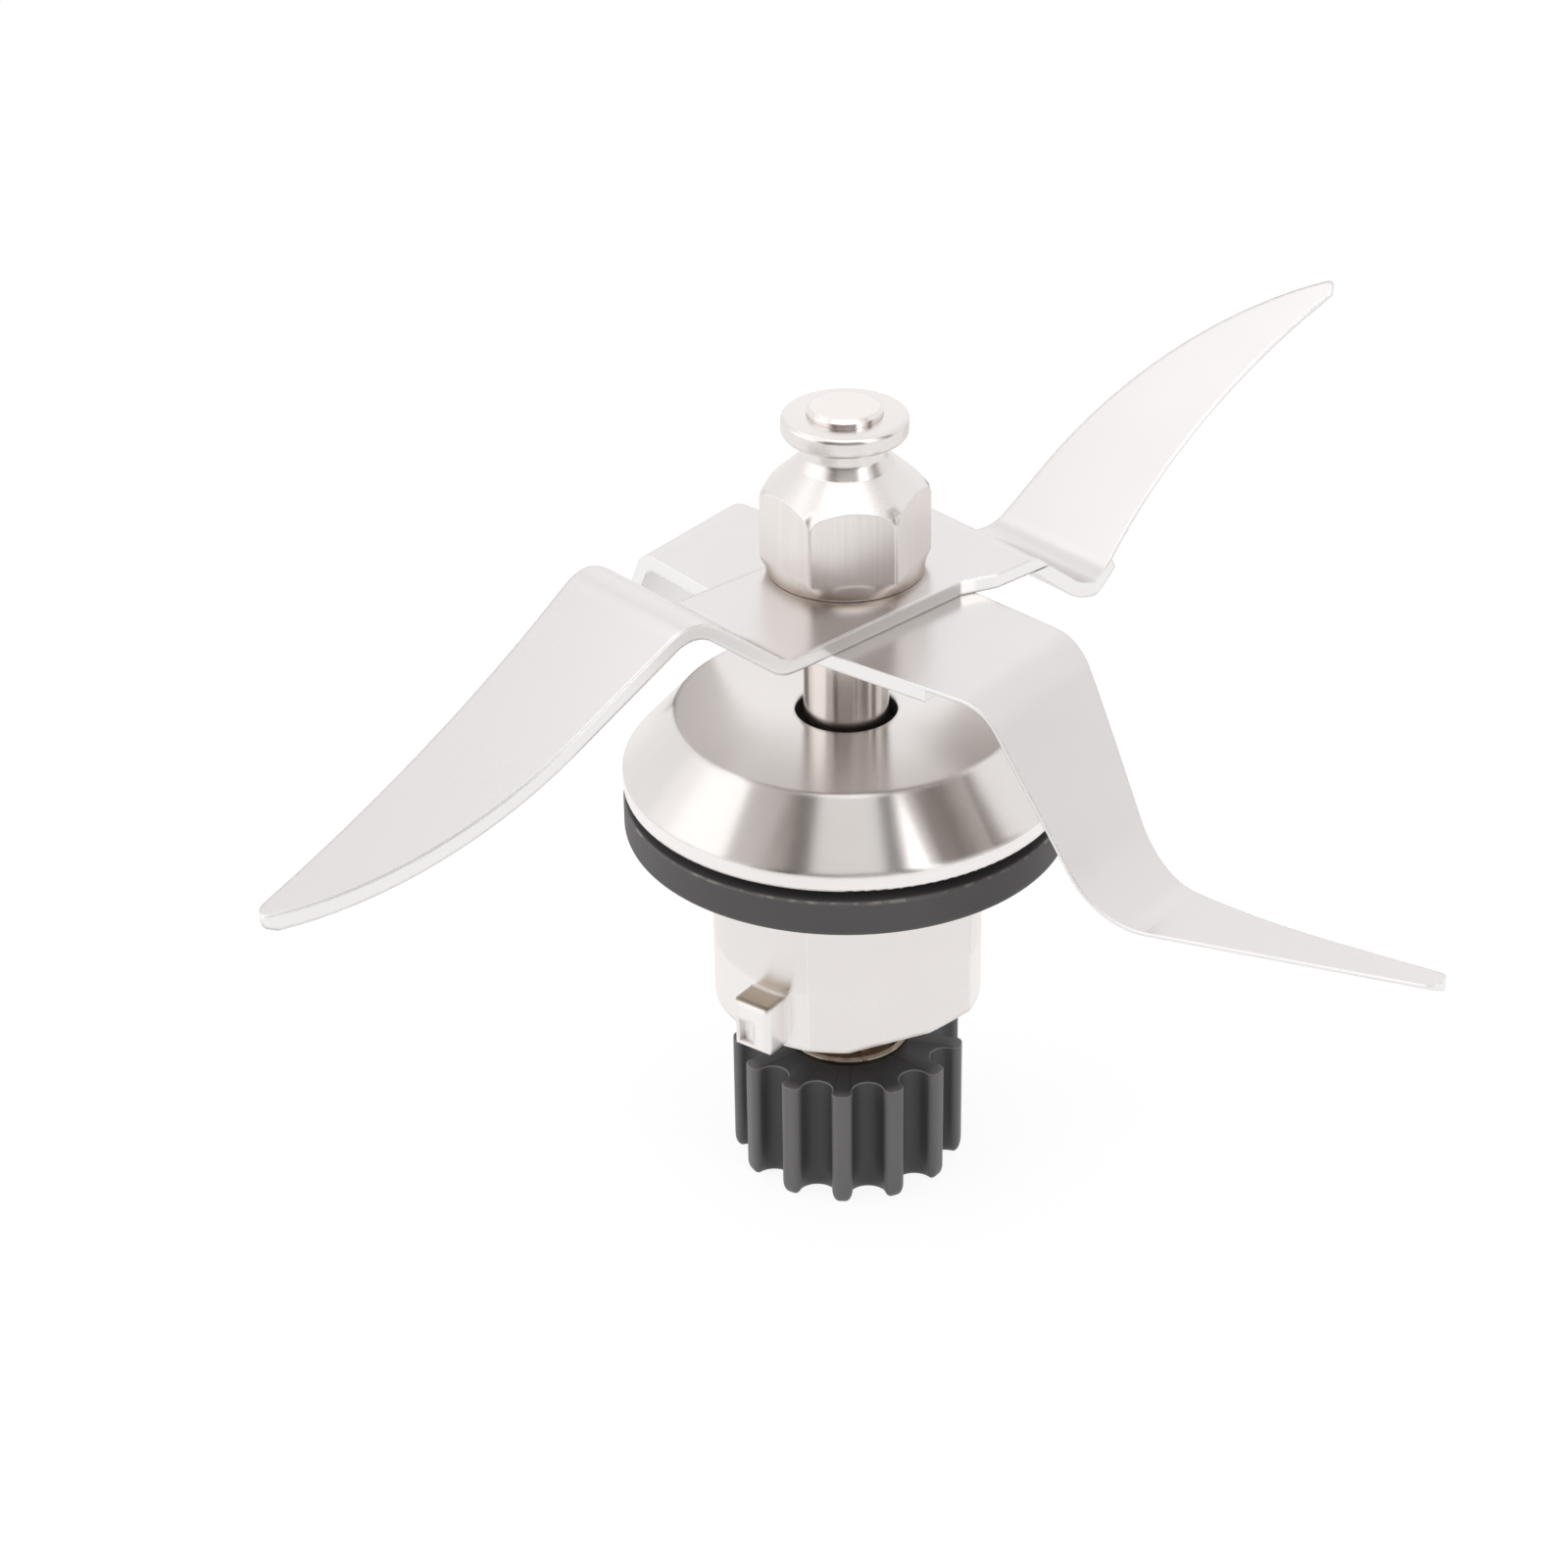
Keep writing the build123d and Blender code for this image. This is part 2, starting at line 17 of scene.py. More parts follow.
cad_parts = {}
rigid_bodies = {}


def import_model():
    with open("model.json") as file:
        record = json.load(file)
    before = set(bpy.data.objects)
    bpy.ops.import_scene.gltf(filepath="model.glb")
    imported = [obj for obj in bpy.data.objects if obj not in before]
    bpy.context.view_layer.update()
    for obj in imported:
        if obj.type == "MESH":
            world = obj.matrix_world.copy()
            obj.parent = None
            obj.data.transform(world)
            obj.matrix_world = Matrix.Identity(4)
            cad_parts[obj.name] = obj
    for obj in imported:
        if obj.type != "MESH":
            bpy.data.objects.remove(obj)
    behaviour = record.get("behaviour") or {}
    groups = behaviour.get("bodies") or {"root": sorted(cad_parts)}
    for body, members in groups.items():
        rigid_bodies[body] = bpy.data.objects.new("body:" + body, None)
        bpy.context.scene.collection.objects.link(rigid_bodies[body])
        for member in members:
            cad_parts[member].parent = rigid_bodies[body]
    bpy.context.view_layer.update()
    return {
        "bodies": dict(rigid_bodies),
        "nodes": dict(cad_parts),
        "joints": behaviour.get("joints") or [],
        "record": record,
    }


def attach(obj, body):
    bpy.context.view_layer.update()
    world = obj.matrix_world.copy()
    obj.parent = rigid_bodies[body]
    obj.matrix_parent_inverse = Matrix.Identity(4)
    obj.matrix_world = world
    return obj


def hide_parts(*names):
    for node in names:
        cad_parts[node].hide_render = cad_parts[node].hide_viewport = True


LOG = logging.getLogger("blade_assembly")
MM = 0.001

# Heights up the spindle where one piece or face meets the next.
GEAR_TOP = 13.0
LUG_HIGH = 24.95
SEAL_EDGE = 41.8
LIP_BOTTOM = 42.9
LIP_TOP = 44.65
HUB_SEAM = 64.2
NUT_FOOT = 65.7

# Points along each stretch of the new surfaces.
ARC_STEPS = 8
FLAT_STEPS = 25
FOOT_STEPS = 11
CROWN_STEPS = 7
VALLEY_STEPS = 26
CORNER_STEPS = 12
TIP_STEPS = 4
LOW_END_STEPS = 9
HIGH_END_STEPS = 5

# How the materials' noise is drawn. Most of it lies between the low and the high value.
CLOUD_DETAIL = 4.0
CLOUD_ROUGHNESS = 0.6
LINE_DETAIL = 3.0
NOISE_LOW = 0.3
NOISE_HIGH = 0.7

# How the edge colour, partly wear and partly a painted highlight, and broken patches fade, and what a break
# leaves of its patch.
EDGE_SAMPLES = 4
EDGE_FADE = 0.1
BREAK_FADE = 0.1
BREAK_LEFT = 0.25

# A speck's radius, as a share of the distance from place to place.
SPECK_RADIUS = 0.09

# Turn of the smear, as a share of a whole turn, so that it runs across the rings.
SMEAR_TURN = 0.25

# What makes a Mix node mix colours.
IN_COLOUR = {"give": 2, "data_type": "RGBA"}

# The one face of a flat panel.
ONE_FACE = np.array([[0, 1, 2, 3]])

Socket = bpy.types.NodeSocket
Tree = bpy.types.NodeTree


class Marks(Enum):
    """The way a tool ran over a surface, and so the way its fine lines run."""

    GRAIN = "no way at all, as on a moulded face"
    ROUND = "round the spindle"
    UPRIGHT = "along the spindle"
    LENGTHWISE = "along the strip"


class Zone(Enum):
    """What tells a patch of a surface from the rest."""

    STEEP = "how upright its face stands, from 0 to 1"
    HEIGHT = "its height up the spindle"
    RADIUS = "its distance from the spindle"


def linear(colour: str) -> tuple[float, float, float, float]:
    """Turns an sRGB hex value into linear red, green, blue and alpha.

    Args:
        colour: six hex digits after a hash sign.

    Returns:
        The linear colour, opaque.
    """
    parts = np.array([int(colour[i : i + 2], 16) for i in (1, 3, 5)]) / 255
    flat = np.where(parts <= 0.04045, parts / 12.92, ((parts + 0.055) / 1.055) ** 2.4)
    return (*flat.tolist(), 1.0)


def add(
    tree: Tree,
    kind: str,
    sockets: dict[int | str, object] | None = None,
    give: int | str = 0,
    **settings: object,
) -> Socket:
    """Adds a node with its settings, and fills its sockets with values or links.

    Args:
        tree: the material's or world's nodes.
        kind: the node's type without its first word.
        sockets: input names or places, each with a value or with another node's output.
        give: the output that is wanted.
        settings: the node's own properties.

    Returns:
        The wanted output socket.
    """
    node = tree.nodes.new("ShaderNode" + kind)
    for key, value in settings.items():
        setattr(node, key, value)
    for place, value in (sockets or {}).items():
        if isinstance(value, bpy.types.NodeSocket):
            tree.links.new(value, node.inputs[place])
        else:
            node.inputs[place].default_value = value
    return node.outputs[give]


def measure(tree: Tree, place: Socket, zone: Zone) -> Socket:
    """Works out what a zone goes by at each point of a surface.

    Args:
        tree: the material's nodes.
        place: the object's own coordinates.
        zone: what is asked for.

    Returns:
        One less the upright part of the normal, or the height or the radius in metres.
    """
    if zone is Zone.STEEP:
        normal = add(tree, "NewGeometry", give="True Normal")
        rise = add(tree, "Math", {0: add(tree, "SeparateXYZ", {0: normal}, give="Z")}, operation="ABSOLUTE")
        return add(tree, "Math", {0: 1.0, 1: rise}, operation="SUBTRACT")
    if zone is Zone.HEIGHT:
        return add(tree, "SeparateXYZ", {0: place}, give="Z")
    level = add(tree, "VectorMath", {0: place, 1: (1, 1, 0)}, operation="MULTIPLY")
    return add(tree, "VectorMath", {0: level}, give="Value", operation="LENGTH")


@dataclass(frozen=True)
class Limit:
    """One limit of a patch.

    Attributes:
        zone: what it goes by.
        start: where the patch begins.
        end: where it is full.
    """

    zone: Zone
    start: float
    end: float

    def share(self, tree: Tree, place: Socket) -> Socket:
        """Says which side of the limit a point is on.

        Args:
            tree: the material's nodes.
            place: the object's own coordinates.

        Returns:
            0 before the start, 1 past the end and even between.
        """
        unit = 1.0 if self.zone is Zone.STEEP else MM
        reach = {"From Min": self.start * unit, "From Max": self.end * unit}
        return add(tree, "MapRange", {"Value": measure(tree, place, self.zone), **reach})


@dataclass(frozen=True)
class Patch:
    """A part of a surface that differs from the rest: some were made or worn in another way, and some are
    painted highlights or painted shade.

    Attributes:
        limits: what bounds it, all at once.
        colour: its sRGB colour.
        roughness: its gloss.
        marks: the way its tool marks run, where that differs.
        tint: darkening of the colour in those marks.
        gaps: how much of it is broken by wear, from 0 to 1.
        gap_size: size of the breaks.
    """

    limits: tuple[Limit, ...]
    colour: str
    roughness: float
    marks: Marks | None = None
    tint: float = 0.0
    gaps: float = 0.0
    gap_size: float = 1.2

    def share(self, tree: Tree, place: Socket) -> Socket:
        """Says where the patch lies.

        Args:
            tree: the material's nodes.
            place: the object's own coordinates.

        Returns:
            1 on the patch and 0 off it.
        """
        shares = [limit.share(tree, place) for limit in self.limits]
        part = shares[0]
        for other in shares[1:]:
            part = add(tree, "Math", {0: part, 1: other}, operation="MULTIPLY")
        if self.gaps:
            scale = 1 / (self.gap_size * MM)
            noise = add(tree, "TexNoise", {"Vector": place, "Scale": scale, "Detail": CLOUD_DETAIL})
            start = NOISE_LOW + (NOISE_HIGH - NOISE_LOW) * self.gaps
            worn = {"Value": noise, "From Min": start, "From Max": start - BREAK_FADE}
            kept = add(tree, "MapRange", {**worn, "To Min": 1.0, "To Max": BREAK_LEFT})
            part = add(tree, "Math", {0: part, 1: kept}, operation="MULTIPLY")
        return part


@dataclass(frozen=True)
class Finish:
    """A real surface: its colour, its gloss, and the lines and clouds that making and handling left on it.

    Attributes:
        name: the material's name, after what it is and how it was made.
        colour: sRGB colour of the clean surface.
        worn: sRGB colour along its edges, partly wear and partly a painted highlight.
        roughness: gloss of the clean surface.
        metallic: 1 for bare metal, 0 for rubber and plastic.
        anisotropy: how far tool marks smear what the surface mirrors, across the marks.
        marks: the way that the tool marks run.
        direction: plan direction of a strip, in degrees from X.
        line_width: width of a tool mark.
        line_length: length of a tool mark.
        line_depth: depth of a tool mark in the bump.
        line_gloss: change of roughness from line to line.
        cloud_size: size of the handling clouds.
        cloud_gloss: change of roughness from cloud to cloud.
        cloud_tint: darkening of the colour in the clouds.
        edge_round: radius over which an edge catches light.
        edge_glint_and_wear: how far that light turns before the edge colour begins, as a cosine. That colour is
            partly wear and partly a painted highlight.
        specks: share of the places that hold a speck of dust.
        speck_space: distance from place to place.
        speck_colour: sRGB colour of the dust.
        patches: parts that differ from the rest.
    """

    name: str
    colour: str
    worn: str
    roughness: float
    metallic: float = 1.0
    anisotropy: float = 0.0
    marks: Marks = Marks.GRAIN
    direction: float = 0.0
    line_width: float = 0.25
    line_length: float = 12.0
    line_depth: float = 0.004
    line_gloss: float = 0.08
    cloud_size: float = 9.0
    cloud_gloss: float = 0.06
    cloud_tint: float = 0.06
    edge_round: float = 0.15
    edge_glint_and_wear: float = 0.995
    specks: float = 0.0
    speck_space: float = 1.6
    speck_colour: str = "#b9b5b2"
    patches: tuple[Patch, ...] = ()

    def material(self) -> bpy.types.Material:
        """Builds the finish.

        Returns:
            The material, with its lines, clouds, patches and edges in colour, roughness and bump.
        """
        material = bpy.data.materials.new(self.name)
        material.use_nodes = True
        tree = material.node_tree
        shader = tree.nodes["Principled BSDF"]
        shader.inputs["Metallic"].default_value = self.metallic
        place = add(tree, "TexCoord", give="Object")
        soft = add(tree, "Bevel", {"Radius": self.edge_round * MM}, samples=EDGE_SAMPLES)
        lines = self.layers(tree, shader, place, soft)
        groove = {"Height": lines, "Strength": 1.0, "Distance": self.line_depth * MM, "Normal": soft}
        tree.links.new(add(tree, "Bump", groove), shader.inputs["Normal"])
        if self.anisotropy:
            shader.inputs["Anisotropic"].default_value = self.anisotropy
            shader.inputs["Anisotropic Rotation"].default_value = SMEAR_TURN
            around = add(tree, "Tangent", direction_type="RADIAL", axis="Z")
            tree.links.new(around, shader.inputs["Tangent"])
        return material

    def layers(self, tree: Tree, shader: bpy.types.Node, place: Socket, soft: Socket) -> Socket:
        """Colours and polishes the surface: clouds and marks, then patches, then the edge colour, partly wear
        and partly a painted highlight, and dust.

        A Mix node takes its share at place 0, two numbers at 2 and 3, and two colours at 6 and 7.

        Args:
            tree: the material's nodes.
            shader: the surface's shader.
            place: the object's own coordinates.
            soft: the normal rounded over the edges.

        Returns:
            The marks' height, from 0 to 1.
        """
        haze = {"Vector": place, "Scale": 1 / (self.cloud_size * MM), "Roughness": CLOUD_ROUGHNESS}
        cloud = add(tree, "TexNoise", {**haze, "Detail": CLOUD_DETAIL})
        lines = self.lines(tree, place, self.marks)
        colour = linear(self.colour)
        tint = 0.0
        low = self.roughness - self.cloud_gloss / 2
        gloss = add(tree, "MapRange", {"Value": cloud, "To Min": low, "To Max": low + self.cloud_gloss})
        for patch in self.patches:
            part = patch.share(tree, place)
            colour = add(tree, "Mix", {0: part, 6: colour, 7: linear(patch.colour)}, **IN_COLOUR)
            gloss = add(tree, "Mix", {0: part, 2: gloss, 3: patch.roughness})
            if patch.marks:
                lines = add(tree, "Mix", {0: part, 2: lines, 3: self.lines(tree, place, patch.marks)})
                tint = add(tree, "Mix", {0: part, 2: tint, 3: patch.tint})
        dark = add(tree, "Math", {0: lines, 1: tint}, operation="MULTIPLY")
        dim = add(tree, "Math", {0: 1.0, 1: dark}, operation="SUBTRACT")
        dim = add(tree, "Math", {0: cloud, 1: -self.cloud_tint, 2: dim}, operation="MULTIPLY_ADD")
        colour = add(tree, "Mix", {0: 1.0, 6: colour, 7: dim}, **IN_COLOUR, blend_type="MULTIPLY")
        tree.links.new(self.wear(tree, colour, place, soft), shader.inputs["Base Color"])
        even = add(tree, "Math", {0: gloss, 1: self.line_gloss / 2}, operation="SUBTRACT")
        ruled = add(tree, "Math", {0: lines, 1: self.line_gloss, 2: even}, operation="MULTIPLY_ADD")
        tree.links.new(ruled, shader.inputs["Roughness"])
        return lines

    def wear(self, tree: Tree, colour: Socket, place: Socket, soft: Socket) -> Socket:
        """Lays the edge colour, partly wear and partly a painted highlight, and the dust over the colour. An
        edge is where the rounded normal turns away.

        Args:
            tree: the material's nodes.
            colour: the colour so far.
            place: the object's own coordinates.
            soft: the normal rounded over the edges.

        Returns:
            The colour with edges and dust.
        """
        true = add(tree, "NewGeometry", give="Normal")
        same = add(tree, "VectorMath", {0: soft, 1: true}, give="Value", operation="DOT_PRODUCT")
        reach = {"From Min": self.edge_glint_and_wear, "From Max": self.edge_glint_and_wear - EDGE_FADE}
        # The paler edge colour is partly wear and partly a painted highlight.
        edge = add(tree, "MapRange", {"Value": same, **reach})
        colour = add(tree, "Mix", {0: edge, 6: colour, 7: linear(self.worn)}, **IN_COLOUR)
        if self.specks:
            dust = self.dust(tree, place)
            colour = add(tree, "Mix", {0: dust, 6: colour, 7: linear(self.speck_colour)}, **IN_COLOUR)
        return colour

    def lines(self, tree: Tree, place: Socket, marks: Marks) -> Socket:
        """Fine marks: noise stretched along the way the tool ran.

        Round marks are noise of radius less height, so they ring the spindle on level, sloping and upright
        faces alike. Upright and lengthwise marks are noise squeezed across the mark and drawn out along it.
        Grain is noise of the mark's width in all directions.

        Args:
            tree: the material's nodes.
            place: the object's own coordinates.
            marks: the way that they run.

        Returns:
            The marks' height, from 0 to 1.
        """
        fine, long = 1 / (self.line_width * MM), 1 / (self.line_length * MM)
        if marks is Marks.ROUND:
            radius = measure(tree, place, Zone.RADIUS)
            height = measure(tree, place, Zone.HEIGHT)
            along = add(tree, "Math", {0: radius, 1: height}, operation="SUBTRACT")
            ringed = {"W": along, "Scale": fine, "Detail": LINE_DETAIL}
            return add(tree, "TexNoise", ringed, noise_dimensions="1D")
        scales = {
            Marks.GRAIN: (fine, fine, fine),
            Marks.UPRIGHT: (fine, fine, long),
            Marks.LENGTHWISE: (long, fine, long),
        }
        turn = (0, 0, -math.radians(self.direction))
        turned = add(tree, "Mapping", {"Vector": place, "Rotation": turn})
        drawn = add(tree, "VectorMath", {0: turned, 1: scales[marks]}, operation="MULTIPLY")
        return add(tree, "TexNoise", {"Vector": drawn, "Scale": 1.0, "Detail": LINE_DETAIL})

    def dust(self, tree: Tree, place: Socket) -> Socket:
        """Strews specks: a dot at some of the places of a random net.

        Args:
            tree: the material's nodes.
            place: the object's own coordinates.

        Returns:
            1 on a speck and 0 elsewhere.
        """
        net = add(tree, "TexVoronoi", {"Vector": place, "Scale": 1 / (self.speck_space * MM)}).node
        near = add(tree, "Math", {0: net.outputs["Distance"], 1: SPECK_RADIUS}, operation="LESS_THAN")
        chance = add(tree, "SeparateColor", {0: net.outputs["Color"]})
        held = add(tree, "Math", {0: chance, 1: self.specks}, operation="LESS_THAN")
        return add(tree, "Math", {0: near, 1: held}, operation="MULTIPLY")


# Stainless sheet, rolled and satin polished: pale soft reflections, with upright shear marks on the sheared
# edge faces, which are painted paler as a painted highlight for the glare off them. Its rolling lines are drawn
# much coarser than the real ones, which would be too fine to show.
# Painted highlight: the sheared edge faces are painted paler.
SHEARED_HIGHLIGHT = Patch((Limit(Zone.STEEP, 0.8, 0.95),), "#f4f2f0", 0.28, marks=Marks.UPRIGHT)
LOWER_SHEET = Finish(
    name="satin rolled stainless lower",
    colour="#e3dfde",
    worn="#fbf9f8",
    roughness=0.26,
    marks=Marks.LENGTHWISE,
    direction=-37.8,
    line_width=0.6,
    line_length=30.0,
    line_depth=0.0002,
    line_gloss=0.015,
    cloud_size=18.0,
    cloud_gloss=0.08,
    cloud_tint=0.05,
    edge_round=0.25,
    patches=(SHEARED_HIGHLIGHT,),
)

# The same sheet, with a painted shadow: a dark line along the foot of its hub's edge, where the hub lies on the
# lower blade.
SEAM_SHADOW = Patch(
    (
        Limit(Zone.STEEP, 0.8, 0.95),
        Limit(Zone.HEIGHT, HUB_SEAM - 0.1, HUB_SEAM - 0.05),
        Limit(Zone.HEIGHT, HUB_SEAM + 0.16, HUB_SEAM + 0.04),
        Limit(Zone.RADIUS, 20.0, 19.0),
    ),
    "#857a72",
    0.4,
)
UPPER_SHEET = replace(
    LOWER_SHEET,
    name="satin rolled stainless upper",
    direction=41.0,
    edge_round=0.5,
    patches=(SHEARED_HIGHLIGHT, SEAM_SHADOW),
)

# Stainless bar, turned: fine rings that smear what the cone mirrors into bright and dark wedges. The body
# under the lip is satin. The lip and each lug's sides are painted paler as painted highlights, each lug's top
# is painted tan as painted shade, and the edges carry a wide pale colour that is partly wear and partly a
# painted highlight. The rings are drawn coarser than the real ones, which would be too fine to show.
BODY = Patch((Limit(Zone.HEIGHT, LIP_BOTTOM - 0.3, LIP_BOTTOM - 0.5),), "#ebe6e3", 0.26)
# Painted highlight: the lip is painted paler.
LIP_HIGHLIGHT = Patch(
    (
        Limit(Zone.STEEP, 0.8, 0.95),
        Limit(Zone.HEIGHT, LIP_BOTTOM - 0.05, LIP_BOTTOM + 0.05),
        Limit(Zone.HEIGHT, LIP_TOP + 0.15, LIP_TOP - 0.05),
    ),
    "#f8f3f1",
    0.3,
)
# Painted highlight: each lug's sides are painted near white.
LUG_SIDE_HIGHLIGHT = Patch(
    (
        Limit(Zone.STEEP, 0.5, 0.8),
        Limit(Zone.RADIUS, 13.1, 13.4),
        Limit(Zone.HEIGHT, LUG_HIGH + 1.05, LUG_HIGH + 0.55),
    ),
    "#fbf7f5",
    0.36,
)
# Painted shade: each lug's top is painted tan.
LUG_TOP_SHADE = Patch(
    (
        Limit(Zone.STEEP, 0.4, 0.2),
        Limit(Zone.RADIUS, 11.0, 11.5),
        Limit(Zone.HEIGHT, LUG_HIGH - 0.45, LUG_HIGH - 0.25),
        Limit(Zone.HEIGHT, LUG_HIGH + 1.05, LUG_HIGH + 0.55),
    ),
    "#c6b8a8",
    0.4,
)
TURNED = Finish(
    name="turned stainless steel",
    colour="#e6e1de",
    worn="#f6f3f1",
    roughness=0.22,
    anisotropy=0.7,
    marks=Marks.ROUND,
    line_width=0.22,
    line_depth=0.001,
    line_gloss=0.06,
    edge_round=0.7,
    edge_glint_and_wear=0.86,
    patches=(BODY, LIP_HIGHLIGHT, LUG_SIDE_HIGHLIGHT, LUG_TOP_SHADE),
)

# Stainless bar, milled to a hexagon and turned above: satin, with upright cutter lines that streak the flats.
# The flats are painted paler as a painted highlight, and the foot is painted tan as painted shade where the nut
# meets the blade. The lines are drawn coarser than the real ones, which would be too fine to show.
# Painted highlight: the flats are painted paler.
FLAT_HIGHLIGHT = Patch(
    (Limit(Zone.STEEP, 0.85, 0.99), Limit(Zone.HEIGHT, NUT_FOOT + 9.2, NUT_FOOT + 8.9)),
    "#f8f2ee",
    0.32,
    marks=Marks.UPRIGHT,
    tint=0.16,
)
# Painted shade: the foot is painted tan.
FOOT_SHADE = Patch((Limit(Zone.HEIGHT, NUT_FOOT + 1.7, NUT_FOOT + 0.4),), "#b5a89d", 0.36)
NUT = Finish(
    name="milled and turned stainless steel",
    colour="#ebe6e3",
    worn="#f8f5f3",
    roughness=0.28,
    marks=Marks.ROUND,
    line_width=0.3,
    line_length=18.0,
    line_depth=0.0005,
    line_gloss=0.08,
    patches=(FLAT_HIGHLIGHT, FOOT_SHADE),
)

# Centreless ground spindle steel: bright, with fine rings. On this and the next ground, polished and machined
# metals the rings are drawn coarser than the real ones, which would be too fine to show.
GROUND = Finish(
    name="ground spindle steel",
    colour="#efe9e5",
    worn="#f2eeeb",
    roughness=0.2,
    anisotropy=0.4,
    marks=Marks.ROUND,
    line_width=0.15,
    line_depth=0.0008,
    line_gloss=0.05,
)

# Polished steel of the collar over the gear, dark where it mirrors the gear. Its colour is painted dark tan as
# painted shade for the dark it mirrors, and its edges carry a cream painted highlight.
SHADED_COLLAR_STEEL = Finish(
    name="polished steel with painted shade",
    colour="#8a7c6c",
    worn="#f2e9db",
    roughness=0.1,
    marks=Marks.ROUND,
    line_width=0.15,
    line_depth=0.001,
)

# Hardened bearing steel, ground: cooler and darker than the stainless.
BEARING = Finish(
    name="ground bearing steel",
    colour="#cfcdcc",
    worn="#e6e4e3",
    roughness=0.2,
    marks=Marks.ROUND,
    line_width=0.15,
    line_depth=0.0008,
    line_gloss=0.05,
)

# Spring steel, oiled and blackened: nearly black with worn bright corners, and a grain drawn coarser than the
# real one.
SPRING = Finish(
    name="blackened spring steel",
    colour="#3b3a3c",
    worn="#8d8a88",
    roughness=0.38,
    metallic=0.8,
    line_width=0.2,
    line_depth=0.002,
)

# Machined brass of the ball cages: warm yellow with fine rings.
BRASS = Finish(
    name="machined brass",
    colour="#d3ac68",
    worn="#ecd096",
    roughness=0.24,
    marks=Marks.ROUND,
    line_width=0.15,
    line_depth=0.001,
)

# Nitrile rubber, moulded: matte warm dark grey with a faint bloom and dust, and a painted highlight: a pale
# broken line on its upper edge, where that edge catches light. Its mould texture is drawn coarser than the
# real one, which would be too fine to show.
RUBBER = Finish(
    name="moulded nitrile rubber",
    colour="#585556",
    worn="#7a7675",
    roughness=0.62,
    metallic=0.0,
    line_width=0.18,
    line_depth=0.006,
    line_gloss=0.12,
    cloud_tint=0.18,
    specks=0.05,
    patches=(
        # Painted highlight: a pale broken line where the ring's upper edge catches light.
        Patch(
            (
                Limit(Zone.HEIGHT, SEAL_EDGE - 0.3, SEAL_EDGE - 0.2),
                Limit(Zone.HEIGHT, SEAL_EDGE - 0.01, SEAL_EDGE - 0.05),
            ),
            "#8f8983",
            0.6,
            gaps=0.75,
        ),
    ),
)

# Glass filled nylon, moulded: dark grey with a spark texture and dust. The tooth tips are painted paler as a
# painted highlight, and the upper edge carries a pale painted highlight line. The texture is drawn coarser than
# the real one, which would be too fine to show.
NYLON = Finish(
    name="moulded glass filled nylon",
    colour="#4b4a4b",
    worn="#777576",
    roughness=0.5,
    metallic=0.0,
    line_width=0.14,
    line_depth=0.005,
    line_gloss=0.12,
    cloud_tint=0.12,
    specks=0.04,
    patches=(
        # Painted highlight: the tooth tips are painted paler.
        Patch((Limit(Zone.RADIUS, 10.3, 11.5),), "#727071", 0.42),
        # Painted highlight: a pale line along the rounded upper edge.
        Patch(
            (
                Limit(Zone.HEIGHT, GEAR_TOP - 0.18, GEAR_TOP - 0.12),
                Limit(Zone.HEIGHT, GEAR_TOP - 0.01, GEAR_TOP - 0.03),
            ),
            "#7f7d7c",
            0.4,
        ),
    ),
)


def dress(frame: dict, node: str, material: bpy.types.Material) -> None:
    """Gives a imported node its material.

    Args:
        frame: the loaded frame.
        node: the node's name.
        material: what it is dressed in.
    """
    slots = frame["nodes"][node].data.materials
    slots.clear()
    slots.append(material)
    LOG.info("dressed %s in %s", node, material.name)


def bare_material(name: str) -> tuple[bpy.types.Material, Tree, Socket]:
    """Starts a material with nothing in it but its output.

    Args:
        name: the material's name.

    Returns:
        The material, its nodes and its surface socket.
    """
    material = bpy.data.materials.new(name)
    material.use_nodes = True
    tree = material.node_tree
    tree.nodes.clear()
    output = tree.nodes.new("ShaderNodeOutputMaterial")
    return material, tree, output.inputs["Surface"]


def put(
    name: str, points: np.ndarray, faces: np.ndarray, material: bpy.types.Material
) -> bpy.types.Object:
    """Puts a mesh in the scene.

    Args:
        name: the object's name.
        points: rows of x, y and z, in millimetres.
        faces: rows of four point numbers.
        material: what it is made of.

    Returns:
        The object.
    """
    mesh = bpy.data.meshes.new(name)
    mesh.from_pydata((points * MM).tolist(), [], faces.tolist())
    mesh.materials.append(material)
    thing = bpy.data.objects.new(name, mesh)
    bpy.context.scene.collection.objects.link(thing)
    return thing


def lift(plan: np.ndarray, rise: np.ndarray) -> np.ndarray:
    """Sets rings of plan points at their heights.

    Args:
        plan: points as complex numbers, x plus y times i: ring and point.
        rise: a height for each point, or one for each ring as a column.

    Returns:
        The rings of points: ring, point, and x, y and z.
    """
    return np.stack([plan.real, plan.imag, np.broadcast_to(rise, plan.shape)], axis=2)


def join(name: str, rings: np.ndarray, finish: Finish, node: str, sharp: float) -> None:
    """Makes a turning piece from rings of points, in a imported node's place.

    Each ring is joined to the next, and the last to the first, all the way round.

    Args:
        name: the piece's name.
        rings: rings of points, in millimetres: ring, point, and x, y and z.
        finish: what it is dressed in.
        node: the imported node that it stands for.
        sharp: angle in degrees past which an edge stays sharp.
    """
    count, points = rings.shape[:2]
    ring, point = np.meshgrid(np.arange(count), np.arange(points), indexing="ij")
    ring_on, point_on = (ring + 1) % count, (point + 1) % points
    corners = ((ring, point), (ring, point_on), (ring_on, point_on), (ring_on, point))
    faces = np.stack([r * points + p for r, p in corners], axis=2).reshape(-1, 4)
    piece = put(name, rings.reshape(-1, 3), faces, finish.material())
    piece.data.shade_smooth()
    piece.data.set_sharp_from_angle(angle=math.radians(sharp))
    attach(piece, "rotor")
    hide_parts(node)
    LOG.info("made %s with %d faces", name, len(piece.data.polygons))


